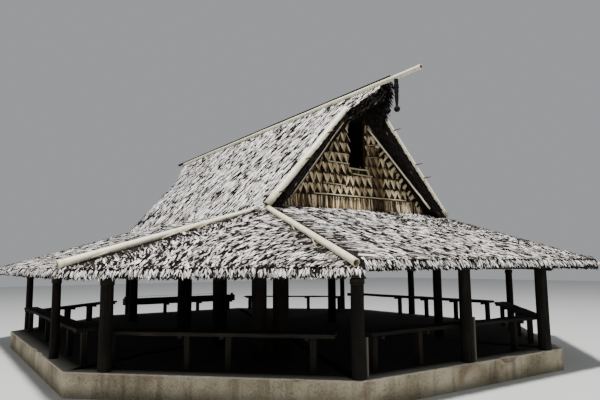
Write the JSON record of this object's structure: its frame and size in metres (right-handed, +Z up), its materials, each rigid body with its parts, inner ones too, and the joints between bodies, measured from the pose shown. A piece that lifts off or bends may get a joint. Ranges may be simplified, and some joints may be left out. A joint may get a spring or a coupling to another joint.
{
  "type": "traditional meeting house",
  "caption": "Open-sided meeting house with an eight-sided floor, round posts, perimeter benches, a steep thatched roof and a shallow thatched skirt around it.",
  "frame": {"origin": "on the ground under the centre of the floor slab", "axes": "+Z up, +Y along the ridge away from the front gable, +X to the right seen from the front"},
  "size_m": [9.8229, 11.6998, 4.6783],
  "materials": {
    "concrete": "stained, rough",
    "post_wood": "dark weathered round timber",
    "frame_wood": "dark smoked round timber",
    "bench_wood": "dark worn boards",
    "thatch": "bleached palm leaf thatch",
    "leaf_wall": "sewn tan leaf panels",
    "bamboo": "pale dry bamboo, satin",
    "ridge_wood": "dark weathered pole",
    "carved_wood": "dark carved wood"
  },
  "bodies": {
    "root": {"floor_slab": "concrete", "post_front_left_corner": "post_wood", "post_front_middle": "post_wood", "post_front_right_corner": "post_wood", "post_front_left_side": "post_wood", "post_front_right_side": "post_wood", "post_left": "post_wood", "post_right": "post_wood", "post_back_left_side": "post_wood", "post_back_right_side": "post_wood", "post_back_left": "post_wood", "post_back_right": "post_wood", "main_post_left_front": "post_wood", "main_post_left_front_middle": "post_wood", "main_post_left_middle": "post_wood", "main_post_left_back": "post_wood", "main_post_right_front": "post_wood", "main_post_right_middle": "post_wood", "main_post_right_back": "post_wood", "second_post_left_front": "post_wood", "skirt_roof_front": "thatch", "skirt_roof_back": "thatch", "skirt_roof_left": "thatch", "skirt_roof_right": "thatch", "skirt_roof_front_left": "thatch", "skirt_roof_front_right": "thatch", "skirt_roof_back_left": "thatch", "skirt_roof_back_right": "thatch", "eave_beam_front": "frame_wood", "eave_beam_back": "frame_wood", "eave_beam_left": "frame_wood", "eave_beam_right": "frame_wood", "eave_beam_front_left": "frame_wood", "eave_beam_front_right": "frame_wood", "eave_beam_back_left": "frame_wood", "eave_beam_back_right": "frame_wood", "roof_frame": "frame_wood", "main_roof_left": "thatch", "main_roof_right": "thatch", "gable_wall_front": "leaf_wall", "gable_wall_back": "leaf_wall", "rake_pole_front_left": "bamboo", "rake_pole_front_right": "bamboo", "hip_pole_left": "bamboo", "hip_pole_right": "bamboo", "ridge_top_pole": "ridge_wood", "ridge_bamboo": "bamboo", "pendant_front": "carved_wood", "pendant_rear": "carved_wood", "bench_front": "bench_wood", "bench_front_left": "bench_wood", "bench_front_right": "bench_wood", "bench_back": "bench_wood", "bench_back_left": "bench_wood", "bench_back_right": "bench_wood", "bench_left": "bench_wood", "bench_right": "bench_wood"}
  },
  "joints": []
}
